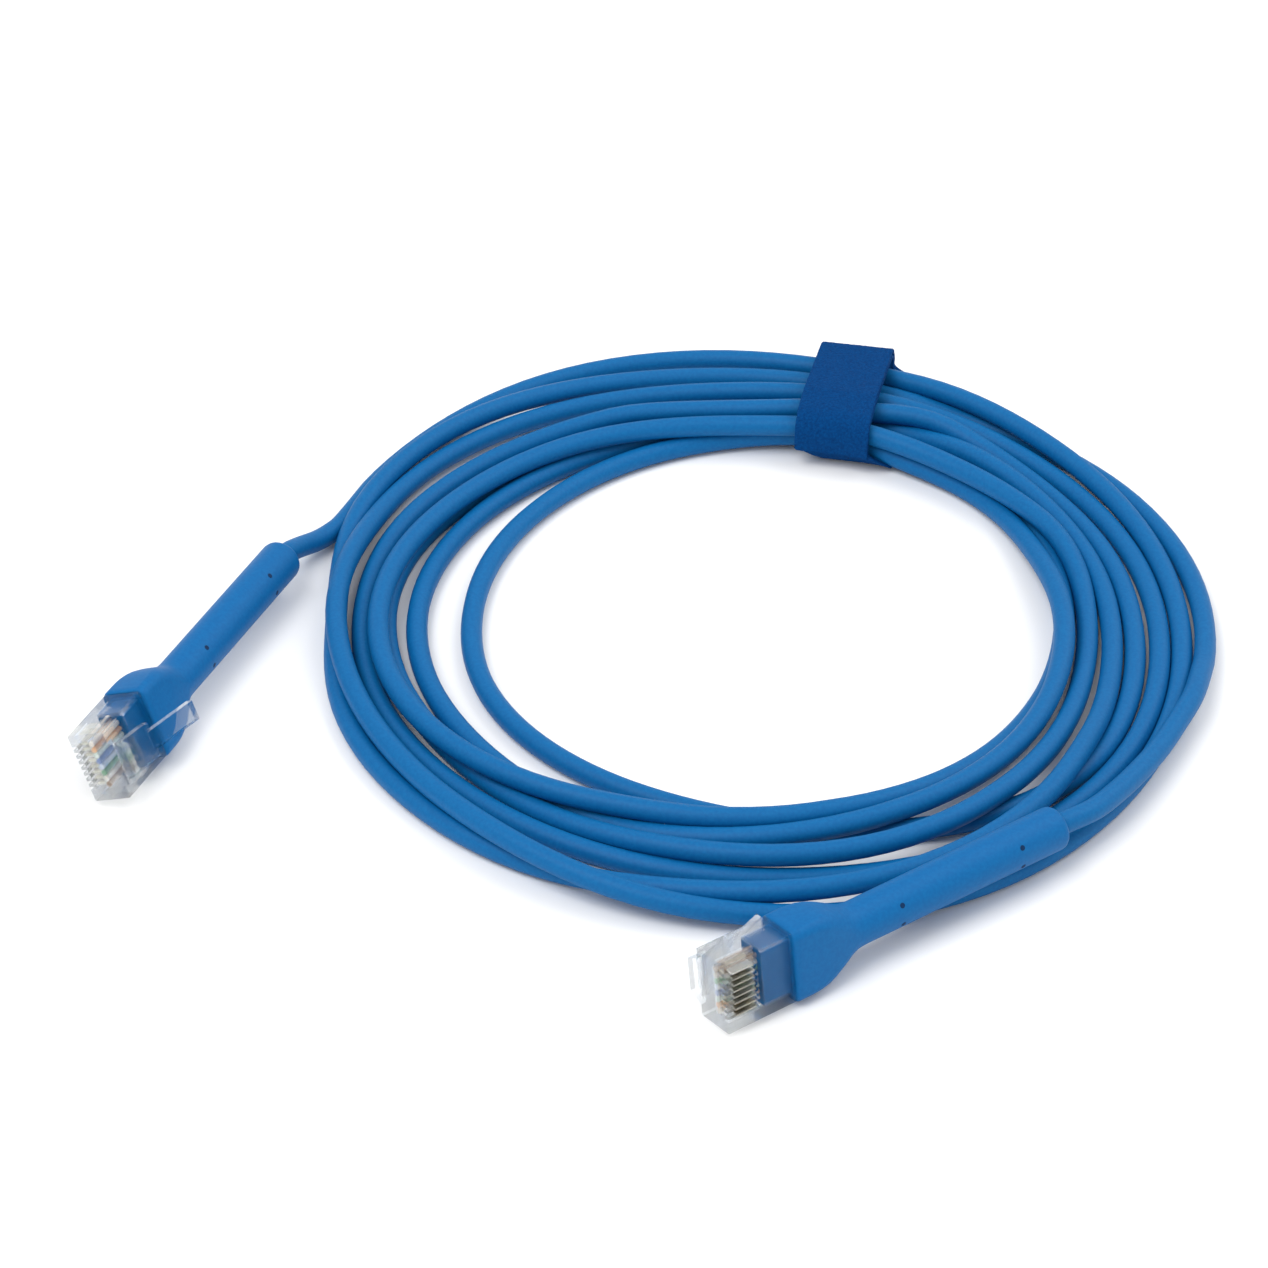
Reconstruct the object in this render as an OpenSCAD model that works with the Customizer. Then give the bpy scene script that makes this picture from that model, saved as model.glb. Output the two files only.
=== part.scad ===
// Ethernet patch cable: a coiled lead with an RJ45 plug and slim boot on each end, held by a strap.
// Millimetres, +Z up. The origin is the centre of the whole part on the surface that it lies on.

/* [Plug] */
// width of the clear housing
plug_w = 11.68; // [11.5:0.02:11.8]
// thickness of the clear housing between its contact face and its latch face
plug_t = 6.6; // [6.4:0.1:6.9]
// length of clear housing in front of the boot
plug_clear_l = 12; // [11.8:0.1:13]
// length of the housing's neck inside the boot's hood
plug_hidden_l = 5.5; // [4.5:0.5:6]
// width of the neck
neck_w = 10.4; // [10.2:0.1:10.8]
// thickness of the neck
neck_t = 5.6; // [5.4:0.1:5.8]
// distance between neighbouring contacts
contact_pitch = 1.02; // [1.01:0.01:1.03]
// thickness of a contact blade
blade_t = 0.32; // [0.25:0.01:0.35]
// length of a contact blade along the plug
blade_l = 3.6; // [3:0.1:4]
// width of the slot round a blade
slot_w = 0.56; // [0.5:0.02:0.62]
// depth that the blades' edges lie below the contact face
blade_recess = 0.5; // [0.4:0.05:0.6]

/* [Latch] */
// width of the latch's spring plate
latch_plate_w = 6; // [5.4:0.1:6.4]
// length of the spring plate, from the hinge to the shoulders
latch_plate_l = 5.5; // [5:0.1:6.2]
// height that the spring plate gains over its length
latch_plate_rise = 2.3; // [2:0.1:2.6]
// width of the release lever
latch_lever_w = 3.3; // [3:0.1:3.6]
// length of the release lever
latch_lever_l = 8; // [7:0.5:9]
// height that the lever gains over its length
latch_lever_rise = 3.3; // [3:0.1:3.6]
// thickness of the latch
latch_t = 1; // [0.8:0.05:1.1]
// radius of the rounded root that the latch bends about
latch_root_r = 0.6; // [0.5:0.02:0.65]

/* [Boot] */
// width of the hood, across the plug's width
hood_w = 12.3; // [12:0.1:13.2]
// thickness of the hood
hood_t = 8; // [7.6:0.1:8.6]
// length of the hood
hood_l = 5; // [4:0.5:7]
// length of the shoulders that curve down from the hood to the sleeve
taper_l = 8; // [7:0.5:10]
// diameter of the slim sleeve
sleeve_d = 6.9; // [6.7:0.1:7.4]
// length of the slim sleeve
sleeve_l = 38.5; // [34:0.5:42]
// radius of the edge round the sleeve's rear end
sleeve_edge_r = 1; // [0.5:0.1:1.5]
// diameter of the small pin marks on the sleeve
mark_d = 0.9; // [0.6:0.1:1.2]
// length of the moulded tongue that shows inside the clear housing
tongue_l = 5; // [4:0.2:5.4]

/* [Cable] */
// outside diameter of the round jacket
cable_d = 3.5; // [3.3:0.05:3.6]
// diameter of one insulated conductor
wire_d = 0.92; // [0.8:0.02:0.96]
// free gap between sliding or nested pieces
fit_gap = 0.08; // [0.05:0.01:0.1]

/* [Strap] */
// width of the hook-and-loop strap
strap_w = 12.7; // [10:0.1:16]
// thickness of the strap's woven loop layer
strap_loop_t = 0.8; // [0.7:0.05:0.9]
// thickness of the strap's hook lining
strap_hook_t = 0.4; // [0.35:0.05:0.5]
// length of the strap's free tail on top
strap_tail_l = 22; // [14:1:22]

/* [Hidden] */
strap_t = strap_loop_t + strap_hook_t;
hood_x = plug_clear_l;
sleeve_x = hood_x + hood_l + taper_l;
boot_end = sleeve_x + sleeve_l;
housing_l = plug_clear_l + plug_hidden_l;
jacket_x = housing_l + 3;
mark_a = 28;
mark_depth = 0.25;
tongue_x = plug_clear_l - tongue_l;
neck_wall = 0.6;
tongue_w = neck_w - 2 * neck_wall;
tongue_t = neck_t - 2 * neck_wall;
corner_r = 0.3;
hood_r = 1.6;
sliver = 0.01;
wire_z = -0.2;
channel_w = 7 * contact_pitch + wire_d + 2 * fit_gap;
channel_t = wire_d + 2 * fit_gap;
channel_x = 0.8;
blade_x = 1.7;
latch_x = 1.5;
latch_z = plug_t / 2 + latch_root_r + fit_gap;
// The block in front of the latch's root: its width at the housing and at its top, and how far it
// stands proud of the latch face.
root_block_w = 8;
root_block_top_w = 5.6;
root_block_rise = 2.5;
hull_fn = 32;

// Where each plug's nose face is centred, and its turn about Z, its slope and its roll, in degrees.
end_a = [[-84.8, -37.2, 7.3], 68, -1.4, 21];
end_b = [[7.5, -88.9, 6.25], 35.5, 1, 7];

// Plan centre of the coil.
coil_c = [16.9, 11.1];
// The coil's outer shape: travel angle (clockwise from the west), inner and outer radius, the
// radius that the upper layer reaches, and the heights there and at the outer edge, both in
// diameters of the cable.
coil_ring = [
    [0, 60, 72.5, 72, 1.97, 1.7], [15, 59, 72.5, 72, 1.97, 1.7], [30, 54, 74, 73, 1.97, 1.7],
    [45, 52.5, 76.5, 75.5, 1.97, 1.7], [60, 51.5, 80.5, 76, 1.97, 1], [75, 50.5, 81.5, 77, 1.97, 1],
    [90, 50, 81, 76, 2, 1.7], [105, 50, 78.5, 74, 2.17, 1.7], [120, 50, 73.5, 72, 2, 1.7],
    [135, 50, 71, 70, 1.97, 1.7], [150, 49, 72.5, 71, 1.97, 1.7], [165, 47, 73.5, 72, 1.97, 1.7],
    [180, 46.3, 72.6, 72, 1.97, 1.7], [195, 46.5, 71.5, 71, 1.97, 1.7], [210, 48, 73, 72, 1.97, 1.7],
    [225, 48.5, 76, 70, 1.97, 1], [240, 49, 80, 71, 1.97, 1], [255, 51.5, 81, 75.5, 1.97, 1],
    [270, 51.5, 81, 76, 1.97, 1.7], [285, 50.5, 77.5, 76, 1.97, 1.7], [300, 52.5, 75.5, 75, 1.97, 1.7],
    [315, 54.5, 74.5, 74, 1.97, 1.7], [330, 57, 73.5, 73, 1.97, 1.7], [345, 59.5, 72.8, 72, 1.97, 1.7],
];
strap_a = 103;
lead_straight = 2;

// Hand-chosen points that the free lengths of the cable follow, between a boot and the coil.
lead_a_tail = [[-58.5, 27.4, 4.2], [-56.1, 31.6, 2.6], [-53.9, 35.4, 1.8], [-52, 39, 1.8],
               [-50.1, 43.9, 1.8]];
lead_b_tail = [[65.2, -47.2, 6.9], [69.1, -42, 6.2], [72.9, -36.1, 5.5], [76.9, -29.1, 4.8],
               [80.6, -21.6, 4.6], [83.9, -14.1, 4.3], [86.2, -7.1, 3.4], [87.7, -0.6, 2.6]];
// The two loose inner turns on the west side, as travel angle, radius and height.
stray_outer = [[-24, 58.5, 4], [-12, 56.5, 2.2], [0, 55.5, 1.8], [12, 55, 1.8], [24, 54.5, 1.8],
               [36, 54.3, 2.4], [48, 54.5, 3]];
stray_inner = [[-74, 52.8, 2], [-60, 50.8, 1.8], [-46, 49.8, 1.8], [-32, 48.8, 1.8], [-16, 47.2, 1.8],
               [0, 46.1, 1.8], [16, 46.4, 1.8], [32, 47.6, 1.8], [48, 49, 1.8], [64, 50.5, 2],
               [78, 52.5, 2.2]];

// T568B order, by contact: [node name, colour].
wire_rows = [["wire_white_orange", "bisque"], ["wire_orange", "darkorange"],
             ["wire_white_green", "honeydew"], ["wire_blue", "royalblue"],
             ["wire_white_blue", "aliceblue"], ["wire_green", "seagreen"],
             ["wire_white_brown", "linen"], ["wire_brown", "saddlebrown"]];

// Puts a plug drawn nose at X = 0, latch up, where it lies: on a narrow side, latch to the right.
module at_a() {
    translate(end_a[0]) rotate([0, 0, end_a[1]]) rotate([0, -end_a[2], 0])
        rotate([90 - end_a[3], 0, 0]) children();
}

module at_b() {
    translate(end_b[0]) rotate([0, 0, end_b[1]]) rotate([0, -end_b[2], 0])
        rotate([-90 - end_b[3], 0, 0]) children();
}

// The point that local [x, 0, 0] of a placed plug has in the part's frame.
function on_axis(end, x) = end[0] + x * [
    cos(end[2]) * cos(end[1]), cos(end[2]) * sin(end[1]), sin(end[2])];

// A point at a travel angle, radius and height of the coil.
function polar(p) = [coil_c[0] + p[1] * cos(180 - p[0]), coil_c[1] + p[1] * sin(180 - p[0]), p[2]];

// Catmull-Rom point at fraction t between points i and i + 1 of a list.
function pick(pts, i) = pts[max(0, min(len(pts) - 1, i))];
function spline(pts, i, t) =
    let (p0 = pick(pts, i - 1), p1 = pick(pts, i), p2 = pick(pts, i + 1), p3 = pick(pts, i + 2))
    0.5 * (2 * p1 + (p2 - p0) * t + (2 * p0 - 5 * p1 + 4 * p2 - p3) * t * t
        + (3 * p1 - p0 - 3 * p2 + p3) * t * t * t);
function smooth(pts, n) = concat(
    [for (i = [0 : len(pts) - 2], k = [0 : n - 1]) spline(pts, i, k / n)], [pts[len(pts) - 1]]);

function unit(v) = v / norm(v);
function along(pts, i) = unit(pick(pts, i + 1) - pick(pts, i - 1));

// A round tube along a list of points, with eight sides.
module tube(pts, d) {
    sides = 8;
    n = len(pts);
    // The eight corners lie so that the section's area is close to the round cable's.
    r = d / 2 * 1.03;
    rings = [for (i = [0 : n - 1])
        let (t = along(pts, i), side = unit(cross([0, 0, 1], t)), up = cross(t, side))
        [for (k = [0 : sides - 1]) let (a = (k + 0.5) * 360 / sides)
            pts[i] + r * (cos(a) * side + sin(a) * up)]];
    polyhedron(
        points = [for (ring = rings) each ring],
        faces = concat(
            [[for (k = [0 : sides - 1]) k]],
            [[for (k = [sides - 1 : -1 : 0]) (n - 1) * sides + k]],
            [for (i = [0 : n - 2], k = [0 : sides - 1]) let (m = (k + 1) % sides)
                [i * sides + k, (i + 1) * sides + k, (i + 1) * sides + m, i * sides + m]]
        )
    );
}

module rounded_box(x0, x1, w, t, r) {
    translate([x0, 0, 0]) rotate([90, 0, 90]) linear_extrude(x1 - x0)
        offset(r, $fn = hull_fn) square([w - 2 * r, t - 2 * r], center = true);
}

module housing() {
    color("lightcyan") difference() {
        union() {
            rounded_box(0, plug_clear_l, plug_w, plug_t, corner_r);
            rounded_box(plug_clear_l - 1, housing_l, neck_w, neck_t, corner_r);
            rotate([90, 0, 90]) linear_extrude(latch_x) polygon([
                [-root_block_w / 2, plug_t / 2 - 0.1], [root_block_w / 2, plug_t / 2 - 0.1],
                [root_block_top_w / 2, plug_t / 2 + root_block_rise],
                [-root_block_top_w / 2, plug_t / 2 + root_block_rise]]);
        }
        // hollow that the latch's rounded root sits in
        translate([latch_x, 0, latch_z]) rotate([90, 0, 0])
            cylinder(r = latch_root_r + fit_gap, h = root_block_w + 1, center = true, $fn = 48);
        // channel that the eight conductors lie in
        translate([channel_x, -channel_w / 2, wire_z - channel_t / 2])
            cube([tongue_x - channel_x + 0.1, channel_w, channel_t]);
        // pocket that the boot's tongue fills
        translate([tongue_x, -tongue_w / 2 - fit_gap, -tongue_t / 2 - fit_gap])
            cube([housing_l, tongue_w + 2 * fit_gap, tongue_t + 2 * fit_gap]);
        for (i = [0 : 7]) translate([0, (i - 3.5) * contact_pitch - slot_w / 2, 0]) {
            // open comb at the contact edge of the nose
            translate([-0.1, 0, -plug_t / 2 - 0.1]) cube([blade_x + blade_l + 0.3, slot_w, 1.1]);
            translate([blade_x - 0.1, 0, -plug_t / 2])
                cube([blade_l + 0.2, slot_w, plug_t / 2 + wire_z - channel_t / 2 + 0.1]);
        }
    }
}

module latch() {
    top = latch_plate_rise;
    plate = [[0, -latch_root_r], [latch_plate_l, top - latch_t], [latch_plate_l, top],
             [0, latch_root_r]];
    lever_x = latch_plate_l - 0.6;
    lever = [[lever_x, top - latch_t], [latch_plate_l + latch_lever_l, top + latch_lever_rise - latch_t],
             [latch_plate_l + latch_lever_l, top + latch_lever_rise], [lever_x, top]];
    color("azure") translate([latch_x, 0, latch_z]) rotate([90, 0, 0]) {
        cylinder(r = latch_root_r, h = latch_plate_w, center = true, $fn = 48);
        linear_extrude(latch_plate_w, center = true) polygon(plate);
        linear_extrude(latch_lever_w, center = true) polygon(lever);
    }
}

module contacts() {
    blade_h = plug_t / 2 - blade_recess + wire_z;
    color("gold") for (i = [0 : 7])
        translate([blade_x, (i - 3.5) * contact_pitch - blade_t / 2, -plug_t / 2 + blade_recess])
            cube([blade_l, blade_t, blade_h]);
}

module wire(i) {
    color(wire_rows[i][1]) translate([channel_x + fit_gap, (3.5 - i) * contact_pitch, wire_z])
        rotate([0, 90, 0]) cylinder(d = wire_d, h = tongue_x - channel_x - fit_gap, $fn = 24);
}

// Sections down the shoulders: share of the taper's length, and shares of the way from the hood's
// width and thickness to the sleeve's diameter.
shoulder = [[0, 0.06, 0.08], [0.3, 0.2, 0.24], [0.6, 0.55, 0.58], [0.8, 0.86, 0.86], [1, 1, 1]];

module shoulder_slice(row) {
    w = hood_w + (sleeve_d - hood_w) * row[1];
    t = hood_t + (sleeve_d - hood_t) * row[2];
    r = hood_r + (sleeve_d / 2 - sliver - hood_r) * row[0];
    x = hood_x + hood_l + taper_l * row[0];
    rounded_box(x, x + sliver, w, t, r);
}

module boot() {
    color("royalblue") difference() {
        union() {
            difference() {
                union() {
                    rounded_box(hood_x, hood_x + hood_l, hood_w, hood_t, hood_r);
                    // shoulders: round and full at first, then hollow towards the sleeve
                    for (i = [0 : len(shoulder) - 2]) hull() {
                        shoulder_slice(shoulder[i]);
                        shoulder_slice(shoulder[i + 1]);
                    }
                    translate([sleeve_x, 0, 0]) rotate([0, 90, 0])
                        cylinder(d = sleeve_d, h = sleeve_l - sleeve_edge_r, $fn = 64);
                    translate([boot_end - sleeve_edge_r, 0, 0]) rotate([0, 90, 0])
                        cylinder(d1 = sleeve_d, d2 = sleeve_d - 2 * sleeve_edge_r,
                            h = sleeve_edge_r, $fn = 64);
                }
                // socket round the housing's neck
                rounded_box(hood_x - 1, housing_l + fit_gap, neck_w + 2 * fit_gap,
                    neck_t + 2 * fit_gap, corner_r);
            }
            // tongue inside the clear housing
            rounded_box(tongue_x, housing_l + 1, tongue_w, tongue_t, corner_r);
        }
        // bore that the jacket is moulded into
        translate([jacket_x, 0, 0]) rotate([0, 90, 0])
            cylinder(d = cable_d + 2 * fit_gap, h = boot_end, $fn = 48);
        // pin marks on both flat sides, near each end of the sleeve
        for (x = [sleeve_x + 7, boot_end - 9], a = [-mark_a, mark_a], s = [0, 180])
            translate([x, 0, 0]) rotate([a + s, 0, 0])
                translate([0, 0, sleeve_d / 2 - mark_depth]) cylinder(d = mark_d, h = 1, $fn = 16);
    }
}

module jacket_end() {
    color("mediumblue") translate([jacket_x + fit_gap, 0, 0]) rotate([0, 90, 0])
        cylinder(d = cable_d, h = boot_end - jacket_x - fit_gap, $fn = 48);
}

// The coil's outer shape: one ring section for each travel angle, joined round.
function ring_row(a) =
    let (n = len(coil_ring), step = 360 / n, i = floor(a / step), t = a / step - i,
         p = coil_ring[i % n], q = coil_ring[(i + 1) % n])
    [a, each [for (k = [1 : 5]) (p[k] + (q[k] - p[k]) * t) * (k < 4 ? 1 : cable_d)]];
// The strap passes under the turns and lifts them by its thickness.
function lift(a) = strap_t * max(0, 1 - pow((a - strap_a) / 14, 4));
function ring_section(row) =
    let (lo = lift(row[0]), e = 1.2, top = row[4], edge = row[5], reach = min(row[3], row[2] - 0.8))
    [[row[1] + e, lo], [row[1], lo + e], [row[1], top - e], [row[1] + e, top],
     [reach - e, top], [reach, max(top - e, edge)], [row[2] - 0.4, edge - 0.6], [row[2], lo + e],
     [row[2] - e, lo]];

module coil() {
    stations = 48;
    rings = [for (i = [0 : stations - 1]) let (a = i * 360 / stations)
        [for (p = ring_section(ring_row(a))) polar([a, p[0], p[1]])]];
    m = len(rings[0]);
    color("mediumblue") polyhedron(
        points = [for (ring = rings) each ring],
        faces = [for (i = [0 : stations - 1], k = [0 : m - 1])
            let (j = (i + 1) % stations, l = (k + 1) % m) each [
                [i * m + k, i * m + l, j * m + k], [i * m + l, j * m + l, j * m + k]]]
    );
}

module stray_turn_outer() {
    color("royalblue") tube(smooth([for (p = stray_outer) polar(p)], 2), cable_d);
}

module stray_turn_inner() {
    color("royalblue") tube(smooth([for (p = stray_inner) polar(p)], 2), cable_d);
}

module lead_a() {
    start = [on_axis(end_a, boot_end), on_axis(end_a, boot_end + lead_straight)];
    color("royalblue") tube(smooth(concat(start, lead_a_tail), 2), cable_d);
}

module lead_b() {
    start = [on_axis(end_b, boot_end), on_axis(end_b, boot_end + lead_straight)];
    color("royalblue") tube(smooth(concat(start, lead_b_tail), 2), cable_d);
}

// The strap's loop stands in a plane that cuts the coil across: X outwards, Y up.
strap_row = ring_row(strap_a);
strap_in = strap_row[1] - 0.4;
strap_out = strap_row[2] + 0.4;
strap_top = strap_row[4] + 0.2;
// inner radius of the loop's bends
strap_r = 2.4;

module in_strap_plane() {
    translate([coil_c[0], coil_c[1], 0]) rotate([90, 0, 180 - strap_a]) children();
}

module strap_outline(grow) {
    offset(strap_r + grow, $fn = hull_fn) translate([strap_in + strap_r, strap_t + strap_r])
        square([strap_out - strap_in - 2 * strap_r, strap_top - strap_t - 2 * strap_r]);
}

module strap_layer(inner, outer) {
    in_strap_plane() linear_extrude(strap_w, center = true) difference() {
        strap_outline(outer);
        strap_outline(inner);
    }
}

module strap_hook() {
    color("midnightblue") strap_layer(0, strap_hook_t);
}

module strap_loop() {
    color("darkslateblue") strap_layer(strap_hook_t, strap_t);
}

// The tail lies on the loop and peels up about its outer end.
tail_x = strap_out - 3;
tail_z = strap_top + strap_t + 0.15;
tail_root_r = (strap_hook_t + strap_loop_t) / 2;

module strap_tail() {
    color("darkslateblue") in_strap_plane() linear_extrude(strap_w, center = true) {
        translate([tail_x - strap_tail_l, tail_z + strap_hook_t]) square([strap_tail_l, strap_loop_t]);
        translate([tail_x, tail_z + tail_root_r]) circle(r = tail_root_r, $fn = hull_fn);
    }
}

module strap_tail_hook() {
    color("midnightblue") in_strap_plane() linear_extrude(strap_w - 1, center = true)
        translate([tail_x - strap_tail_l + 0.5, tail_z]) square([strap_tail_l - 1.5, strap_hook_t]);
}

at_a() housing();  // housing_a
at_a() latch();  // latch_a
at_a() contacts();  // contacts_a
at_a() boot();  // boot_a
at_a() jacket_end();  // jacket_end_a
at_b() housing();  // housing_b
at_b() latch();  // latch_b
at_b() contacts();  // contacts_b
at_b() boot();  // boot_b
at_b() jacket_end();  // jacket_end_b
for (i = [0 : 7]) {
    at_a() wire(i);
    at_b() wire(i);
}
coil();
stray_turn_outer();
stray_turn_inner();
lead_a();
lead_b();
strap_loop();
strap_hook();
strap_tail();
strap_tail_hook();
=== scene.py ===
"""Ethernet patch cable: a coiled blue lead, two clear plugs with slim boots, a hook-and-loop strap.

Pieces are in metres in the frame of the CAD model. The tables of the coil, the strap and the boots
are in millimetres.
"""
import bmesh
import bpy
import math
import numpy as np
from mathutils import Matrix, Vector, noise as field


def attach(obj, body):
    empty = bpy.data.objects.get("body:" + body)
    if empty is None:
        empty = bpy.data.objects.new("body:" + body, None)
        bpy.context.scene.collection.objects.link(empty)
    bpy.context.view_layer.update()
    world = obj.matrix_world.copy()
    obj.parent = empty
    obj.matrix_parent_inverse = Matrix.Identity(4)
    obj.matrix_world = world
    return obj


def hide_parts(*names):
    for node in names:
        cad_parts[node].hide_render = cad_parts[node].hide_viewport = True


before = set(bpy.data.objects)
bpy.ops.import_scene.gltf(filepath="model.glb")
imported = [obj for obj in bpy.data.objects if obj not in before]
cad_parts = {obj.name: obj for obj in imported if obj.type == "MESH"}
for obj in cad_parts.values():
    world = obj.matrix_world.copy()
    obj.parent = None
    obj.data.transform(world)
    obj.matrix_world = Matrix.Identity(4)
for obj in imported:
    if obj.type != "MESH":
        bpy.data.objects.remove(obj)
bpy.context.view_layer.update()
scene = bpy.context.scene
MM = 0.001

# --------------------------------------------------------------------------- camera
LENS_ELEVATION = 35.0
FOCAL_PX = 4300.0
IMAGE_PX = 1268
DISTANCE = 693.5 * MM
SENSOR_MM = 36
CLIP_START = 0.01
# The floor point at the middle of the view.
LOOK_AT = Vector((-3.7, 8.4, 0)) * MM


def add_camera():
    """The camera: south of the object, looking down at it."""
    data = bpy.data.cameras.new("camera")
    data.sensor_width = SENSOR_MM
    data.lens = SENSOR_MM * FOCAL_PX / IMAGE_PX
    data.clip_start = CLIP_START
    cam = bpy.data.objects.new("camera", data)
    scene.collection.objects.link(cam)
    tilt = math.radians(LENS_ELEVATION)
    cam.location = LOOK_AT + DISTANCE * Vector((0, -math.cos(tilt), math.sin(tilt)))
    cam.rotation_euler = (math.radians(90) - tilt, 0, 0)
    scene.camera = cam


# --------------------------------------------------------------------------- sizes
CABLE_D = 3.5 * MM
# The height of the cable's centre where it lies on the floor, and the middle of the coil, in mm.
FLOOR_Z = 1.75
COIL_CENTRE = (16.9, 11.1)
# From a plug's nose to the end of its boot, in mm.
BOOT_END = 63.5

# Each plug's nose face centre in mm, and in degrees its turn, slope and roll, as in the CAD source,
# and the quarter turn that points its latch the right way.
ENDS = {
    "a": ((-84.8, -37.2, 7.3), 68, -1.4, 21, 90),
    "b": ((7.5, -88.9, 6.25), 35.5, 1, 7, -90),
}


def plug_matrix(end):
    """A plug's place in mm: X from its nose back along its axis."""
    place, yaw, pitch, roll, turn = ENDS[end]
    return (
        Matrix.Translation(Vector(place))
        @ Matrix.Rotation(math.radians(yaw), 4, "Z")
        @ Matrix.Rotation(math.radians(-pitch), 4, "Y")
        @ Matrix.Rotation(math.radians(turn - roll), 4, "X")
    )


def on_axis(end, along):
    """A point on a plug's axis, in mm from its nose."""
    return plug_matrix(end) @ Vector((along, 0, 0))


# --------------------------------------------------------------------------- the cable's route
# The free lengths follow the CAD source's points, in mm.
LEAD_A = [(-58.5, 27.4, 4.2), (-56.1, 31.6, 2.6), (-53.9, 35.4, 1.8), (-52, 39, 1.6)]
LEAD_B = [(83.9, -14.1, 4.3), (80.6, -21.6, 4.6), (76.9, -29.1, 4.8), (72.9, -36.1, 5.5),
          (69.1, -42, 6.2), (65.2, -47.2, 6.9)]

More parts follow.
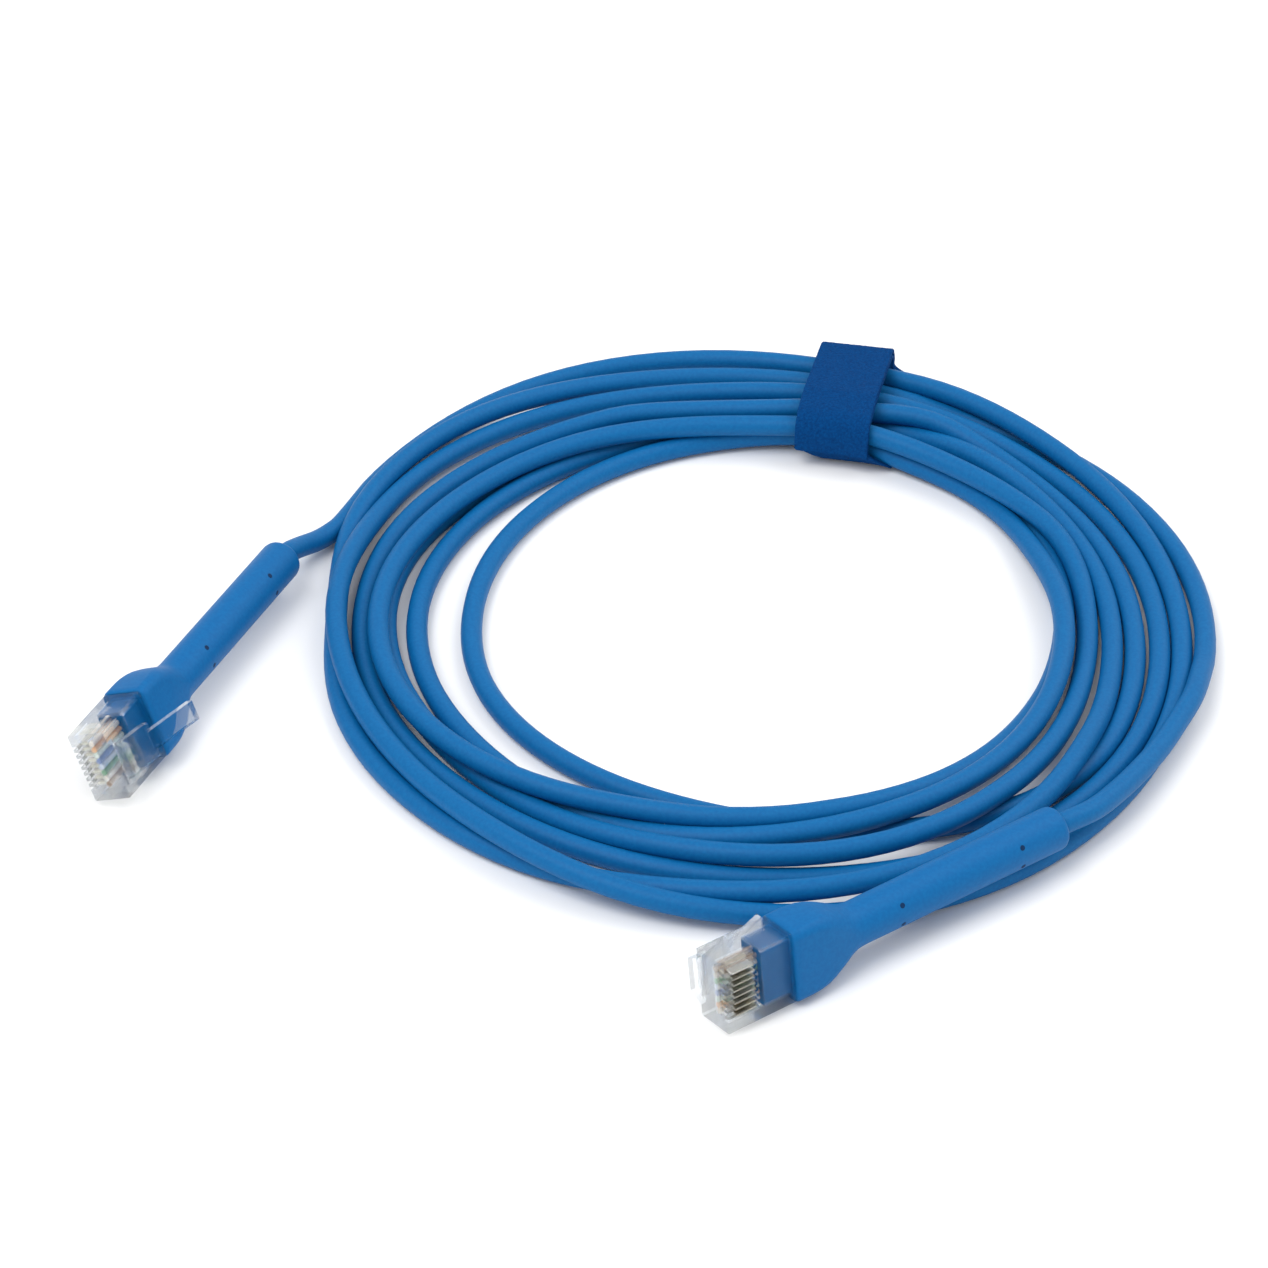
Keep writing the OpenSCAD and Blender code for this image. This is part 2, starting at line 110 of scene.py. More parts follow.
# The coil, turn by turn from lead A to lead B: the travel angle in degrees, clockwise from the west
# side, and the radius and height of the cable's centre in mm.
LO = FLOOR_Z
TURNS = [
    [(30, 75, LO), (45, 76.3, LO), (60, 80.2, 2.5), (75, 79.6, 2.4), (90, 78.6, 2.6),
     (103, 75.2, 3.6), (115, 71, 4.7), (125, 68.5, 5.2), (135, 68, 4.9), (150, 67.6, 3.6),
     (165, 67.3, 2), (180, 66.9, LO), (190, 67, LO), (200, 68.3, LO), (207, 69.5, LO),
     (214, 70.6, LO), (225, 72, LO), (235, 74.9, LO), (245, 77.4, LO), (260, 78.1, LO),
     (270, 78.3, 1.9), (280, 78.2, 3.3), (290, 77.3, 4.2), (300, 75.5, 5.2), (315, 70.8, 4.4),
     (330, 69.3, 4.3), (345, 68.4, 4.2), (360, 68.1, 4.2)],
    [(15, 68.6, 3.7), (30, 69.4, 2.3), (45, 71.6, LO), (60, 69.8, 2.5), (75, 66, 3.8),
     (90, 63.2, 4), (103, 63.6, 5.6), (115, 64.6, 5.2), (125, 65.2, 3.1), (135, 65.2, LO),
     (150, 64.2, LO), (165, 63.6, LO), (180, 63.3, LO), (190, 63.5, LO), (200, 65, LO),
     (207, 66.2, LO), (214, 67.4, LO), (225, 68.8, LO), (240, 70, LO), (255, 69.1, LO),
     (270, 68.5, LO), (290, 67.9, LO), (300, 67.4, LO), (315, 66.2, LO), (337, 65.4, LO),
     (360, 65.2, LO)],
    [(15, 65, LO), (30, 64.7, LO), (45, 64.9, LO), (60, 61.7, 3.3), (67, 60.2, 5.1),
     (75, 57.6, 5.2), (90, 55.1, 5), (103, 55.8, 5.8), (115, 59.2, 6.1), (120, 61, 5.4),
     (125, 61.6, 4), (135, 60.3, 1.9), (150, 59.8, LO), (165, 59.8, LO), (180, 59, LO),
     (200, 60.9, LO), (214, 64, LO), (225, 65.6, LO), (240, 63, LO), (255, 59, LO), (270, 55, LO),
     (285, 52.2, LO), (300, 51, LO), (315, 49.8, LO), (330, 49, LO), (345, 47.6, LO),
     (360, 46.1, LO)],
    [(16, 46.4, LO), (32, 47.2, LO), (45, 48.1, LO), (60, 50, LO), (75, 52.2, LO), (90, 53.9, 1.9),
     (103, 53.8, 2.95), (115, 52.9, 2.3), (125, 52.2, LO), (135, 52.8, LO), (142, 51.2, LO),
     (150, 49.2, 1.9), (165, 46.9, 3.8), (180, 47.9, 5.2), (200, 49.4, 5.2), (214, 51.9, 5.1),
     (225, 54.8, 4.7), (240, 57.5, 5.2), (255, 60, 5.2), (270, 62.8, 5.2), (280, 63, 3.8),
     (290, 62.2, 2.1), (300, 60, LO), (315, 57.6, LO), (330, 56.6, LO), (345, 56, LO),
     (360, 55.5, LO)],
    [(15, 55.1, LO), (30, 54.8, LO), (45, 54.7, LO), (60, 55, LO), (75, 55.8, LO), (90, 57.2, 1.9),
     (103, 57.2, 2.95), (115, 56, 2.3), (120, 55.3, 1.9), (125, 55.3, LO), (135, 56.1, LO),
     (142, 54.5, LO), (150, 52.5, LO), (165, 49.8, LO), (180, 48.3, LO), (195, 48.4, LO),
     (210, 49, LO), (225, 50.9, 2), (240, 53.8, 3.6), (255, 56.4, 5.2), (270, 58.7, 5.2),
     (280, 59, 5.2), (290, 59.2, 5.2), (300, 61, 5.2), (315, 63, 5.2), (337, 63.2, 5.2),
     (360, 61.5, 5.2)],
    [(15, 59.8, 5.2), (30, 57.4, 5.1), (45, 56.5, 4.9), (60, 55.3, 5.2), (75, 53.2, 5.2),
     (82, 51.4, 4.9), (90, 50.8, 3.9), (97, 52, 5.2), (103, 52.2, 5.6), (109, 52.1, 5.4),
     (115, 52, 5), (125, 51.4, 4.6), (135, 50.6, 4.5), (142, 50.9, 5.2), (150, 51, 5.3),
     (157, 52.4, 4.7), (165, 53.4, 3), (180, 51.8, LO), (200, 52.6, 2), (214, 55.4, 3.6),
     (225, 59.4, 4.9), (240, 63.3, 5.2), (255, 67.5, 5.2), (270, 68.2, 5.2), (280, 66.8, 4.6),
     (290, 65.3, 3.3), (300, 64, 2), (315, 61.4, LO), (337, 60.2, LO), (360, 62, LO)],
    [(15, 61, LO), (30, 59.3, LO), (45, 58.2, LO), (60, 58.3, LO), (75, 59.2, LO), (90, 60.6, 1.9),
     (103, 60.6, 2.95), (115, 59.4, 2.6), (120, 58.3, 3.3), (125, 57.4, 4.9), (135, 54.6, 5.1),
     (142, 55.2, 5.2), (146, 55.4, 4.5), (150, 55.7, 3.4), (165, 56.4, 2.1), (180, 55.6, 2.1),
     (200, 56.8, 2), (214, 60.4, 4), (225, 64.6, 5.2), (240, 70.2, 5.2), (255, 75, 5.2),
     (270, 76.6, 5.2), (280, 74.5, 3.5), (290, 74.2, LO), (300, 75.2, LO), (315, 73.4, LO),
     (330, 72, LO), (345, 71.5, LO), (360, 61.8, LO)],
    [(15, 71.5, 2.5), (22, 71.9, 4), (30, 72.6, 4.7), (39, 73.6, 5.2), (45, 73.9, 5.2),
     (60, 72.9, 4.8), (75, 72.3, 2.6), (90, 71.9, 2.6), (103, 69.5, 3.5), (115, 68.2, 2),
     (125, 69.7, LO), (135, 70.3, LO), (150, 71.3, LO), (165, 71.6, LO), (180, 70.7, LO),
     (192, 71.3, 2.9)],
]


# The strap, in mm, drawn in its own plane: the centres of its bends round the turns, where its
# second layer and its tail end, and the angle on its outer bend from which the tail is free.
WRAP_LOW = 3.2
WRAP_INNER = (52.1, 5.6)
WRAP_TOP = (57.0, 5.9)
WRAP_OUTER = (74.4, 4.1)
WRAP_START = 1.5
TAIL_ROOT = 35
TAIL_TIP = 3.0
STRAP_BEND = 2.2
# Where the strap's plane stands on the coil, in degrees of travel, and how far beside it.
STRAP_TURN = 101.5
STRAP_SIDEWAYS = 3.4
STRAP_WIDE = 12.7
LINING_WIDE = STRAP_WIDE - 0.8
LINING_THICK = 0.3
CLOTH_THICK = 0.7
LAYER_GAP = 0.06
# The cloth's mesh: its step, the angle in radians past which an edge is a rim, and the share of
# the thickness that a rim's rounding takes.
BAND_STEP = 0.5
RIM_ANGLE = 1.1
RIM_ROUND = 0.4
# The unevenness of the cloth: its depth, and a coarse and a fine waviness.
NAP_DEPTH = 0.06
NAP_COARSE = 1.9
NAP_FINE = 4.3
NAP_FINE_SHARE = 0.6
# The strap's front stands a little open on the side towards plug B, and its stretch under the
# turns lies further over to that side. Each sets in over a short distance.
FLARE = 0.9
FLARE_REACH = 4
UNDER_SKEW = 4.0
UNDER_TOP = WRAP_LOW + 0.4
UNDER_REACH = 2.6
UNDER_POWER = 1.5


def polar(angle, radius, height):
    """A point of the coil in mm."""
    turn = math.radians(180 - angle)
    return Vector((COIL_CENTRE[0] + radius * math.cos(turn),
                   COIL_CENTRE[1] + radius * math.sin(turn), height))


def hermite(keys, at):
    """A smooth value between rows of [at, values...], without overshoot at uneven steps."""
    i = max(0, min(len(keys) - 2, sum(k[0] <= at for k in keys) - 1))
    a, b = keys[i], keys[i + 1]
    before, after = keys[max(0, i - 1)], keys[min(len(keys) - 1, i + 2)]
    step = b[0] - a[0]
    t = (at - a[0]) / step
    found = []
    for k in range(1, len(a)):
        slope_a = (b[k] - before[k]) / max(1e-6, b[0] - before[0]) * step
        slope_b = (after[k] - a[k]) / max(1e-6, after[0] - a[0]) * step
        found.append(
            (2 * t**3 - 3 * t**2 + 1) * a[k] + (t**3 - 2 * t**2 + t) * slope_a
            + (3 * t**2 - 2 * t**3) * b[k] + (t**3 - t**2) * slope_b
        )
    return found


COIL_STEP = 3.0
STATIONS = round(360 / COIL_STEP)
# Neighbouring turns settle to this distance between their centrelines, in mm.
TOUCH = 3.45
# Where the strap passes under the turns, its thickness there, and the angles to each side within
# which it holds the turns and from which they climb on to it.
STRAP_ANGLE = 105
STRAP_THICK = 1.05
STRAP_HALF_ANGLE = 9
CLIMB_ANGLE = 14
# The room inside the strap for the centrelines: inner and outer radius, the height at the inner
# side and the fall of the strap's top for each mm outwards.
STRAP_ROOM = (51.7, 74.8, 6.2, 0.1)
# The settling: all its sweeps, those that pull a turn back to its lane and by what share, the share
# of an overlap that one sweep takes out of each turn, and the cable's stiffness.
SWEEPS = 400
LANE_SWEEPS = 340
LANE_PULL = 0.03
PUSH = 0.25
STIFFNESS = 0.22
NEAREST = 0.001


def settle(angles, radii, heights):
    """Push the turns apart until none lies inside another, keeping each near its own lane."""
    lane_r, lane_z = radii.copy(), heights.copy()
    off = np.abs((angles % 360) - STRAP_ANGLE)
    bound = off < STRAP_HALF_ANGLE
    floor = FLOOR_Z + STRAP_THICK * np.clip(1 - (off / CLIMB_ANGLE) ** 4, 0, 1)
    inner, outer, room_top, fall = STRAP_ROOM
    for sweep in range(SWEEPS):
        pull = LANE_PULL if sweep < LANE_SWEEPS else 0.0
        radii += pull * (lane_r - radii)
        heights += pull * (lane_z - heights)
        for turns in range(1, len(TURNS)):
            gap = STATIONS * turns
            if gap >= len(radii):
                break
            dr, dz = radii[gap:] - radii[:-gap], heights[gap:] - heights[:-gap]
            far = np.maximum(np.hypot(dr, dz), NEAREST)
            push = np.clip(TOUCH - far, 0, None) * PUSH / far
            radii[gap:] += push * dr
            heights[gap:] += push * dz
            radii[:-gap] -= push * dr
            heights[:-gap] -= push * dz
        for row in (radii, heights):
            row[1:-1] += STIFFNESS * (0.5 * (row[:-2] + row[2:]) - row[1:-1])
        radii[bound] = np.clip(radii[bound], inner, outer)
        top = room_top - fall * np.clip(radii - WRAP_TOP[0], 0, None)
        heights[bound] = np.minimum(heights, top)[bound]
        np.maximum(heights, floor, out=heights)
        for row, lane in ((radii, lane_r), (heights, lane_z)):
            row[0], row[-1] = lane[0], lane[-1]
    return radii, heights


def coil_points():
    """The coil's centreline in mm, a point for every few degrees of travel."""
    keys = [(360 * turn + a, r, z) for turn, lane in enumerate(TURNS) for a, r, z in lane]
    first, last = keys[0][0], keys[-1][0]
    angles = np.arange(first, last + 0.5 * COIL_STEP, COIL_STEP)
    rows = np.array([hermite(keys, at) for at in angles])
    radii, heights = settle(angles, rows[:, 0].copy(), rows[:, 1].copy())
    return [polar(*row) for row in zip(angles, radii, heights)]


def smooth_line(points, steps):
    """A smooth line through points, with some steps between each two."""
    out = []
    for i in range(len(points) - 1):
        p0, p1 = points[max(0, i - 1)], points[i]
        p2, p3 = points[i + 1], points[min(len(points) - 1, i + 2)]
        for k in range(steps):
            t = k / steps
            out.append(0.5 * (2 * p1 + (p2 - p0) * t + (2 * p0 - 5 * p1 + 4 * p2 - p3) * t**2
                              + (3 * p1 - p0 - 3 * p2 + p3) * t**3))
    out.append(points[-1])
    return out


# How far the cable's line goes into a boot and straight out of it, in mm, and the steps between the
# points of a lead.
INTO_BOOT = 3
OUT_OF_BOOT = 2
LEAD_STEPS = 4


def cable_route():
    """The whole cable's centreline in metres, from inside boot A to inside boot B."""
    stops = (BOOT_END - INTO_BOOT, BOOT_END, BOOT_END + OUT_OF_BOOT)
    start = [on_axis("a", along) for along in stops]
    end = [on_axis("b", along) for along in reversed(stops)]
    coil = coil_points()
    lead_a = smooth_line(start + [Vector(p) for p in LEAD_A] + coil[:1], LEAD_STEPS)
    lead_b = smooth_line(coil[-1:] + [Vector(p) for p in LEAD_B] + end, LEAD_STEPS)
    return [p * MM for p in lead_a[:-1] + coil + lead_b[1:]]


# --------------------------------------------------------------------------- materials
def new_material(name):
    """A new material with its node tree and its surface node."""
    mat = bpy.data.materials.new(name)
    mat.use_nodes = True
    tree = mat.node_tree
    tree.nodes.clear()
    out = tree.nodes.new("ShaderNodeOutputMaterial")
    bsdf = tree.nodes.new("ShaderNodeBsdfPrincipled")
    tree.links.new(bsdf.outputs[0], out.inputs[0])
    return mat, tree, bsdf


def noise(tree, scale, detail, rough):
    """A noise texture on the piece's own coordinates."""
    coord = tree.nodes.new("ShaderNodeTexCoord")
    tex = tree.nodes.new("ShaderNodeTexNoise")
    tex.inputs["Scale"].default_value = scale
    tex.inputs["Detail"].default_value = detail
    tex.inputs["Roughness"].default_value = rough
    tree.links.new(coord.outputs["Object"], tex.inputs["Vector"])
    return tex.outputs["Fac"]


def ramp(tree, source, low, high, at):
    """A ramp between two colours."""
    node = tree.nodes.new("ShaderNodeValToRGB")
    for element, place, colour in zip(node.color_ramp.elements, at, (low, high)):
        element.position = place
        element.color = (*colour, 1)
    tree.links.new(source, node.inputs[0])
    return node.outputs[0]


def bump(tree, bsdf, source, strength, distance):
    """A fine relief on the surface."""
    node = tree.nodes.new("ShaderNodeBump")
    node.inputs["Strength"].default_value = strength
    node.inputs["Distance"].default_value = distance
    tree.links.new(source, node.inputs["Height"])
    tree.links.new(node.outputs[0], bsdf.inputs["Normal"])


def grained(name, low, high, scale, detail, surface, relief=None, rough=0.5, at=(0.35, 0.65)):
    """A material with a grain between two shades, its surface values and a relief of that grain."""
    mat, tree, bsdf = new_material(name)
    grain = noise(tree, scale, detail, rough)
    tree.links.new(ramp(tree, grain, low, high, at), bsdf.inputs["Base Color"])
    for key, value in surface.items():
        bsdf.inputs[key].default_value = value
    if relief:
        bump(tree, bsdf, grain, *relief)
    return mat


def plastic(name, low, high, roughness):
    """A moulded or extruded plastic: a fine grain in its colour and surface."""
    surface = {"Roughness": roughness, "Specular IOR Level": 0.16}
    return grained(name, low, high, 1800, 3, surface, (0.3, 0.00002))


def clear_plastic():
    """The clear moulding of the housings and latches."""
    surface = {"Roughness": 0.05, "IOR": 1.22, "Transmission Weight": 1.0, "Alpha": 0.6}
    return grained("clear_housing", (0.8, 0.84, 0.86), (0.87, 0.9, 0.91), 300, 2, surface,
                   (0.08, 0.00005))


def gold():
    """The plated metal of the contacts."""
    surface = {"Metallic": 1.0, "Roughness": 0.3}
    return grained("contact_gold", (0.72, 0.68, 0.58), (0.86, 0.82, 0.7), 900, 2, surface)


def fuzz(name, low, high, scale):
    """Brushed loop cloth: a rough grain, matt."""
    surface = {"Roughness": 0.95, "Specular IOR Level": 0.08}
    return grained(name, low, high, scale, 6, surface, (0.9, 0.0003), 0.7, (0.3, 0.72))


def assign(obj, mat):
    """Give a piece its one material."""
    obj.data.materials.clear()
    obj.data.materials.append(mat)


# --------------------------------------------------------------------------- pieces
def add_cable(mat):
    """The whole cable as one round cord."""
    points = cable_route()
    curve = bpy.data.curves.new("cable", "CURVE")
    curve.dimensions = "3D"
    curve.bevel_depth = CABLE_D / 2
    curve.bevel_resolution = 4
    curve.use_fill_caps = True
    curve.resolution_u = 2
    spline = curve.splines.new("POLY")
    spline.points.add(len(points) - 1)
    for point, place in zip(spline.points, points):
        point.co = (*place, 1)
    spline.use_smooth = True
    obj = bpy.data.objects.new("cable", curve)
    scene.collection.objects.link(obj)
    assign(obj, mat)
    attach(obj, "cable")
    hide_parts("coil", "stray_turn_outer", "stray_turn_inner", "lead_a", "lead_b")


def band_matrix():
    """The strap's plane: X away from the coil's middle, Y up, Z along the coil."""
    return (
        Matrix.Translation((*COIL_CENTRE, 0))
        @ Matrix.Rotation(math.radians(180 - STRAP_TURN), 4, "Z")
        @ Matrix.Rotation(math.radians(90), 4, "X")
        @ Matrix.Translation((0, 0, STRAP_SIDEWAYS))
    )


def bend(centre, radius, start, end):
    """Points of a bend, its angles in degrees."""
    steps = max(2, round(abs(end - start) / 10))
    angles = [math.radians(start + (end - start) * i / steps) for i in range(steps + 1)]
    return [(centre[0] + radius * math.cos(a), centre[1] + radius * math.sin(a)) for a in angles]


def band_path(grow, part):
    """The strap's outline, grown by a distance: the whole loop, the outer wrap or the tail."""
    r = STRAP_BEND + grow
    slope = math.degrees(math.atan2(WRAP_TOP[1] - WRAP_OUTER[1], WRAP_OUTER[0] - WRAP_TOP[0]))
    crown = bend(WRAP_TOP, r, 90, 90 - slope)
    if part == "loop":
        return (bend((WRAP_INNER[0], WRAP_LOW), r, 270, 180) + bend(WRAP_INNER, r, 180, 90)
                + crown + bend(WRAP_OUTER, r, 90 - slope, 0)
                + bend((WRAP_OUTER[0], WRAP_LOW), r, 0, -90))
    if part == "wrap":
        return [(WRAP_OUTER[0] + r, WRAP_START)] + bend(WRAP_OUTER, r, 0, TAIL_ROOT)
    return (bend(WRAP_OUTER, r, TAIL_ROOT, 90 - slope) + crown[::-1]
            + bend(WRAP_INNER, r, 90, 180) + [(WRAP_INNER[0] - r, TAIL_TIP)])


def spaced(path, step, closed):
    """The same path with a point for about every step along it."""
    points = [Vector(p) for p in path] + ([Vector(path[0])] if closed else [])
    out = []
    for a, b in zip(points, points[1:]):
        count = max(1, round((b - a).length / step))
        out += [a.lerp(b, i / count) for i in range(count)]
    return out if closed else out + [points[-1]]


def share(value):
    """A value held between 0 and 1."""
    return max(0.0, min(1.0, value))


def add_band(name, part, grow, thick, wide, mat, body, replaced):
    """A stretch of brushed cloth with soft rims and a slightly uneven nap."""
    closed = part == "loop"
    path = spaced(band_path(grow + thick, part), BAND_STEP, closed)
    bm = bmesh.new()
    verts = [bm.verts.new((p.x, p.y, -wide / 2)) for p in path]
    edges = [bm.edges.new(pair) for pair in zip(verts, verts[1:] + (verts[:1] if closed else []))]
    rows = round(wide / BAND_STEP)
    for _ in range(rows):
        made = bmesh.ops.extrude_edge_only(bm, edges=edges)["geom"]
        moved = [g for g in made if isinstance(g, bmesh.types.BMVert)]
        edges = [g for g in made if isinstance(g, bmesh.types.BMEdge)]
        bmesh.ops.translate(bm, verts=moved, vec=(0, 0, wide / rows))
    bmesh.ops.recalc_face_normals(bm, faces=bm.faces)
    top = max(bm.faces, key=lambda f: f.calc_center_median().y)
    if top.normal.y < 0:
        bmesh.ops.reverse_faces(bm, faces=bm.faces)
    bmesh.ops.solidify(bm, geom=bm.faces[:] + bm.edges[:] + bm.verts[:], thickness=thick)
    bm.normal_update()
    rims = [e for e in bm.edges if len(e.link_faces) == 2 and e.calc_face_angle() > RIM_ANGLE]
    bmesh.ops.bevel(bm, geom=rims, offset=thick * RIM_ROUND, offset_type="OFFSET", segments=3,
                    profile=0.5, affect="EDGES", material=-1, clamp_overlap=True)
    bmesh.ops.recalc_face_normals(bm, faces=bm.faces)
    bm.normal_update()
    for v in bm.verts:
        nap = field.noise(v.co * NAP_COARSE) + NAP_FINE_SHARE * field.noise(v.co * NAP_FINE)
        v.co += v.normal * NAP_DEPTH * nap
        open_by = FLARE * max(0.0, v.co.z / (STRAP_WIDE / 2)) ** 2
        v.co.x -= open_by * share((WRAP_TOP[0] - v.co.x) / FLARE_REACH)
        v.co.z += UNDER_SKEW * share((UNDER_TOP - v.co.y) / UNDER_REACH) ** UNDER_POWER
    bmesh.ops.transform(bm, matrix=Matrix.Scale(MM, 4) @ band_matrix(), verts=bm.verts)
    bmesh.ops.triangulate(bm, faces=bm.faces)
    finish(name, bm, mat, body, replaced)


def add_strap(cloth, lining):
    """A lined loop round the turns, and a lined second layer over it that ends in the free tail."""
    both = LINING_THICK + CLOTH_THICK
    second = both + LAYER_GAP
    add_band("strap_lining", "loop", 0, LINING_THICK, LINING_WIDE, lining,
             "cable", ["strap_hook"])
    add_band("strap_band", "loop", LINING_THICK, CLOTH_THICK, STRAP_WIDE, cloth,
             "cable", ["strap_loop"])
    add_band("strap_wrap", "wrap", second, both, STRAP_WIDE, cloth, "cable", [])
    add_band("flap_lining", "tail", second, LINING_THICK, LINING_WIDE, lining,
             "strap_tail", ["strap_tail_hook"])
    add_band("strap_flap", "tail", second + LINING_THICK, CLOTH_THICK, STRAP_WIDE, cloth,
             "strap_tail", ["strap_tail"])


# The boot's sections along the plug's axis, in mm: place, width, thickness and corner radius.
BOOT_SECTIONS = [
    (7.0, 9.2, 4.4, 0.3), (12.0, 9.2, 4.4, 0.3), (12.0, 11.8, 7.5, 1.35), (12.12, 12.1, 7.8, 1.5),
    (12.4, 12.3, 8.0, 1.6), (15.5, 12.25, 8.0, 1.65), (17.2, 12.05, 7.93, 1.9),
    (18.6, 11.65, 7.82, 2.3), (20.0, 10.75, 7.6, 2.7), (21.4, 9.5, 7.35, 3.0),
    (22.8, 8.1, 7.1, 3.3), (24.0, 7.25, 6.95, 3.42), (25.5, 6.92, 6.9, 3.44),
    (28.0, 6.9, 6.9, 3.45), (45.0, 6.9, 6.9, 3.45), (62.5, 6.9, 6.9, 3.45),
    (63.0, 6.7, 6.7, 3.35), (63.35, 6.2, 6.2, 3.1), (63.5, 5.4, 5.4, 2.7), (63.4, 3.5, 3.5, 1.75),
]
# The stretch of the shoulders, the rows that shape it, and its steps from one row to the next.
SHOULDER = (12.4, 28.0)
SHOULDER_ROWS = BOOT_SECTIONS[4:15]
SHOULDER_STEPS = 4
CORNER_STEPS = 12
SHARP_ANGLE = 40
# The small round pin marks on the sleeve, as dark discs whose colour is painted shade for their
# pits:
# their places along the axis, their angles round it, and their distance from it, radius at the foot
# and the face, and depth.
PIN_MARKS = (32.0, 54.5)
PIN_ANGLES = (-28, 28, 152, 208)
PIN_OUT = 3.42
PIN_FOOT = 0.45
PIN_FACE = 0.4
PIN_DEPTH = 0.1


def boot_sections():
    """The listed sections, with finer ones worked in between down the shoulders."""
    rows = []
    for row, after in zip(BOOT_SECTIONS, BOOT_SECTIONS[1:] + BOOT_SECTIONS[-1:]):
        rows.append(row)
        if SHOULDER[0] <= row[0] < SHOULDER[1]:
            for k in range(1, SHOULDER_STEPS):
                at = row[0] + (after[0] - row[0]) * k / SHOULDER_STEPS
                rows.append((at, *hermite(SHOULDER_ROWS, at)))
    return rows


def corner_points(middle, radius, start):
    """The points of one rounded corner of a section."""
    angles = [math.radians(start + 90 * (i + 0.5) / CORNER_STEPS) for i in range(CORNER_STEPS)]
    return [(middle[0] + radius * math.cos(a), middle[1] + radius * math.sin(a)) for a in angles]


def section_ring(bm, row):
    """A closed ring of edges: one rounded oblong section."""
    x, wide, thick, radius = row
    ring = []
    for k, (sy, sz) in enumerate(((1, 1), (-1, 1), (-1, -1), (1, -1))):
        middle = (sy * (wide / 2 - radius), sz * (thick / 2 - radius))
        for y, z in corner_points(middle, radius, 90 * k):
            ring.append(bm.verts.new((x, y, z)))
    return [bm.edges.new(pair) for pair in zip(ring, ring[1:] + ring[:1])]


def add_boot(end, mat, pin_shade_mat):
    """The moulded boot with its tongue, and on its sleeve the pin marks as dark discs of painted
    shade.
    """
    bm = bmesh.new()
    rings = [section_ring(bm, row) for row in boot_sections()]
    for a, b in zip(rings, rings[1:]):
        bmesh.ops.bridge_loops(bm, edges=a + b)
    bmesh.ops.holes_fill(bm, edges=rings[0] + rings[-1], sides=0)
    bmesh.ops.recalc_face_normals(bm, faces=bm.faces)
    place = Matrix.Scale(MM, 4) @ plug_matrix(end)
    bmesh.ops.transform(bm, matrix=place, verts=bm.verts)
    finish("soft_boot_" + end, bm, mat, "cable", ["boot_" + end], SHARP_ANGLE)
    # The pin marks: small discs whose dark colour is painted shade standing in for the shade in
    # their pits.
    bm = bmesh.new()
    for x in PIN_MARKS:
        for angle in PIN_ANGLES:
            turn = Matrix.Rotation(math.radians(angle), 4, "X")
            at = Matrix.Translation((x, 0, 0)) @ turn @ Matrix.Translation((0, 0, PIN_OUT))
            bmesh.ops.create_cone(bm, cap_ends=True, segments=16, radius1=PIN_FOOT,
                                  radius2=PIN_FACE, depth=PIN_DEPTH, matrix=place @ at)
    finish("boot_marks_" + end, bm, pin_shade_mat, "cable", [], SHARP_ANGLE)


def finish(name, bm, mat, body, replaced, sharp=None):
    """Make a piece of a bmesh, smooth but for edges sharper than an angle."""
    mesh = bpy.data.meshes.new(name)
    bm.to_mesh(mesh)
    bm.free()
    mesh.shade_smooth()
    if sharp:
        mesh.set_sharp_from_angle(angle=math.radians(sharp))
    obj = bpy.data.objects.new(name, mesh)
    scene.collection.objects.link(obj)
    assign(obj, mat)
    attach(obj, body)
    if replaced:
        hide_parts(*replaced)


# --------------------------------------------------------------------------- the studio
FLOOR_HALF = 3.0
FLOOR_DROP = 0.2 * MM
WORLD_LIGHT = 0.75
# The lamps: place, size and power.
LAMPS = {
    "key": ((-0.5, -0.4, 1.1), 0.8, 9),
    "fill": ((0.7, 0.3, 0.9), 0.9, 5),
}


def add_floor():
    """A plain pale floor, just under the object."""
    bm = bmesh.new()
    bmesh.ops.create_grid(bm, x_segments=1, y_segments=1, size=FLOOR_HALF)
    mesh = bpy.data.meshes.new("floor")
    bm.to_mesh(mesh)
    bm.free()
    obj = bpy.data.objects.new("floor", mesh)
    scene.collection.objects.link(obj)
    mat, _, bsdf = new_material("floor")
    bsdf.inputs["Base Color"].default_value = (0.93, 0.93, 0.93, 1)
    bsdf.inputs["Roughness"].default_value = 0.9
    mesh.materials.append(mat)
    obj.location = (0, 0, -FLOOR_DROP)


def add_light(name, place, size, power):
    """A square lamp that points at the middle of the view."""
    data = bpy.data.lights.new(name, "AREA")
    data.shape = "SQUARE"
    data.size = size
    data.energy = power
    obj = bpy.data.objects.new(name, data)
    obj.location = place
    direction = LOOK_AT - Vector(place)
    obj.rotation_euler = direction.to_track_quat("-Z", "Y").to_euler()
    scene.collection.objects.link(obj)


def add_world():
    """An even white light from all round."""
    world = bpy.data.worlds.new("world")
    scene.world = world
    world.use_nodes = True
    tree = world.node_tree
    tree.nodes.clear()
    out = tree.nodes.new("ShaderNodeOutputWorld")
    back = tree.nodes.new("ShaderNodeBackground")
    back.inputs["Color"].default_value = (1, 1, 1, 1)
    back.inputs["Strength"].default_value = WORLD_LIGHT
    tree.links.new(back.outputs[0], out.inputs[0])


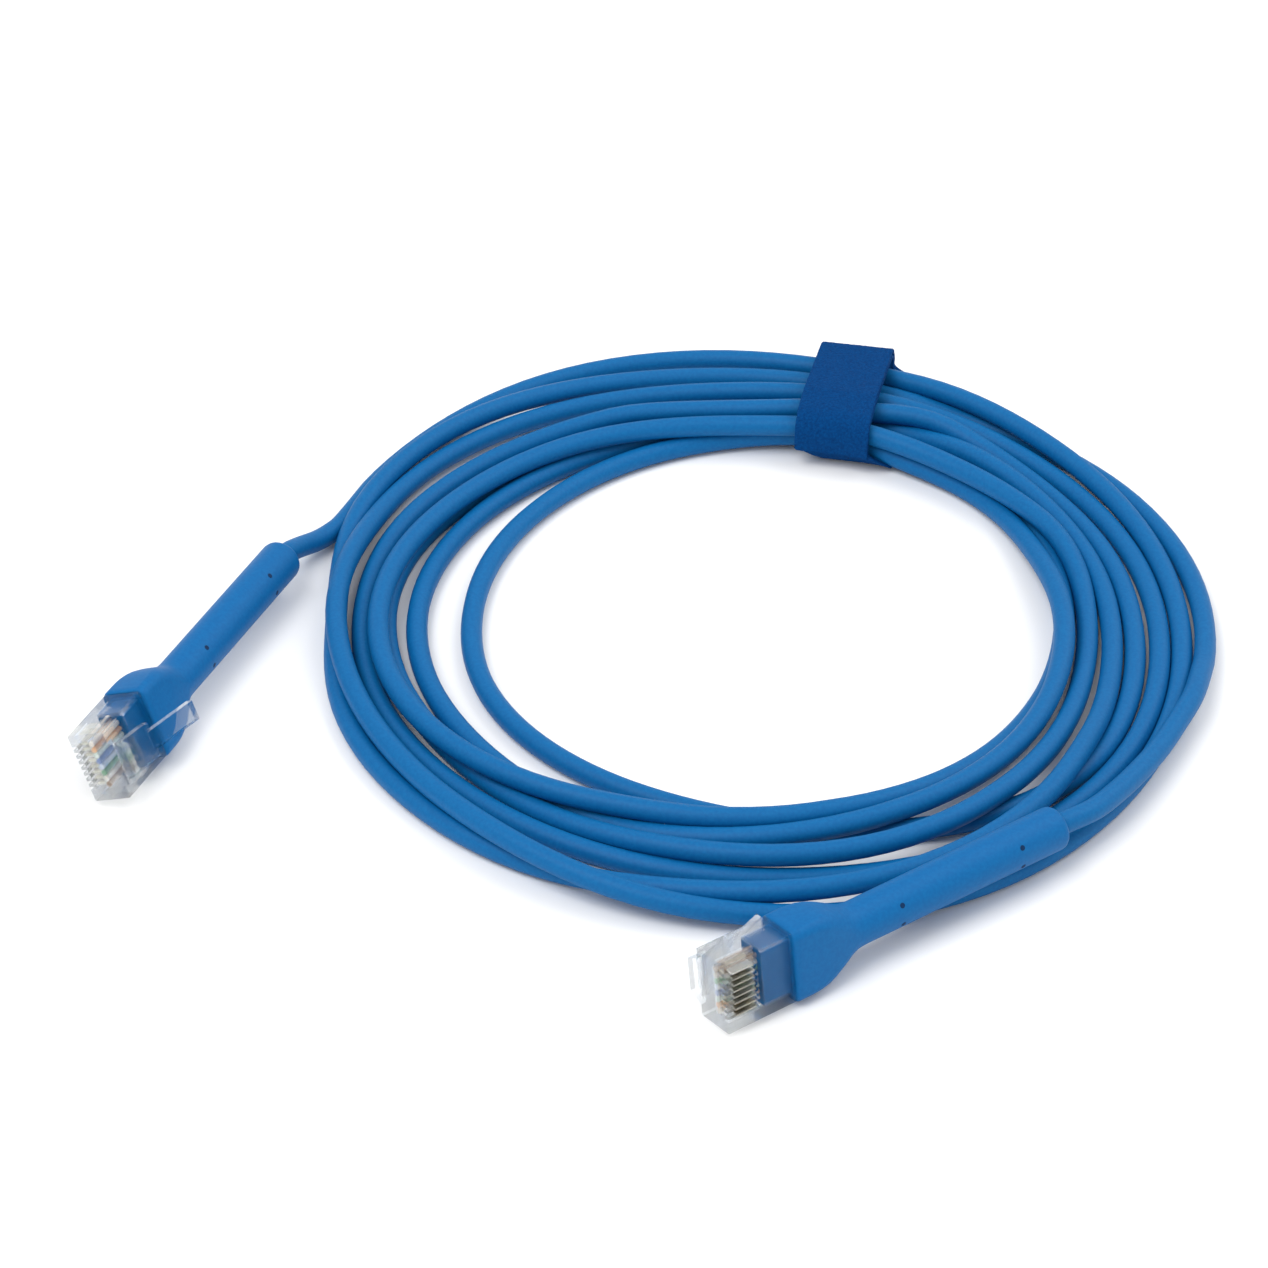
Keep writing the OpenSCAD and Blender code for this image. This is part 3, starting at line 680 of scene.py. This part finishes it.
# --------------------------------------------------------------------------- everything in place
# The two shades of each wire's insulation.
WIRES = {
    "wire_white_orange": ((0.86, 0.74, 0.62), (0.92, 0.86, 0.8)),
    "wire_orange": ((0.78, 0.45, 0.25), (0.84, 0.52, 0.32)),
    "wire_white_green": ((0.66, 0.78, 0.68), (0.86, 0.9, 0.86)),
    "wire_blue": ((0.25, 0.33, 0.58), (0.32, 0.4, 0.64)),
    "wire_white_blue": ((0.64, 0.7, 0.84), (0.84, 0.88, 0.92)),
    "wire_green": ((0.22, 0.42, 0.28), (0.3, 0.5, 0.34)),
    "wire_white_brown": ((0.7, 0.62, 0.54), (0.88, 0.85, 0.82)),
    "wire_brown": ((0.36, 0.26, 0.2), (0.44, 0.33, 0.26)),
}
WIRE_ROUGH = 0.4


def add_plug(end, mats):
    """Finish one plug's own pieces, and put its moulded boot on."""
    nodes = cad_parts
    assign(nodes["housing_" + end], mats["clear"])
    assign(nodes["latch_" + end], mats["clear"])
    assign(nodes["contacts_" + end], mats["gold"])
    add_boot(end, mats["boot"], mats["marks"])
    assign(nodes["jacket_end_" + end], mats["jacket"])
    for wire, (low, high) in WIRES.items():
        assign(nodes[f"{wire}_{end}"], plastic(f"{wire}_{end}", low, high, WIRE_ROUGH))


add_camera()
add_world()
add_floor()
for lamp, (place, size, power) in LAMPS.items():
    add_light(lamp, place, size, power)

materials = {
    "jacket": plastic("jacket_blue", (0.001, 0.112, 0.32), (0.002, 0.13, 0.352), 0.5),
    "boot": plastic("boot_blue", (0.0005, 0.112, 0.33), (0.001, 0.128, 0.36), 0.5),
    # The pin marks' dark colour is painted shade, standing in for the shade inside their small
    # pits.
    "marks": plastic("boot_marks", (0.0005, 0.02, 0.07), (0.001, 0.03, 0.1), 0.6),
    "clear": clear_plastic(),
    "gold": gold(),
    "cloth": fuzz("strap_loop", (0.0005, 0.03, 0.13), (0.001, 0.07, 0.255), 2400),
    "lining": fuzz("strap_hook", (0.0005, 0.04, 0.16), (0.004, 0.1, 0.3), 1800),
}
add_cable(materials["jacket"])
for plug in "ab":
    add_plug(plug, materials)
add_strap(materials["cloth"], materials["lining"])

scene.view_settings.view_transform = "Standard"
scene.render.resolution_x = IMAGE_PX
scene.render.resolution_y = IMAGE_PX
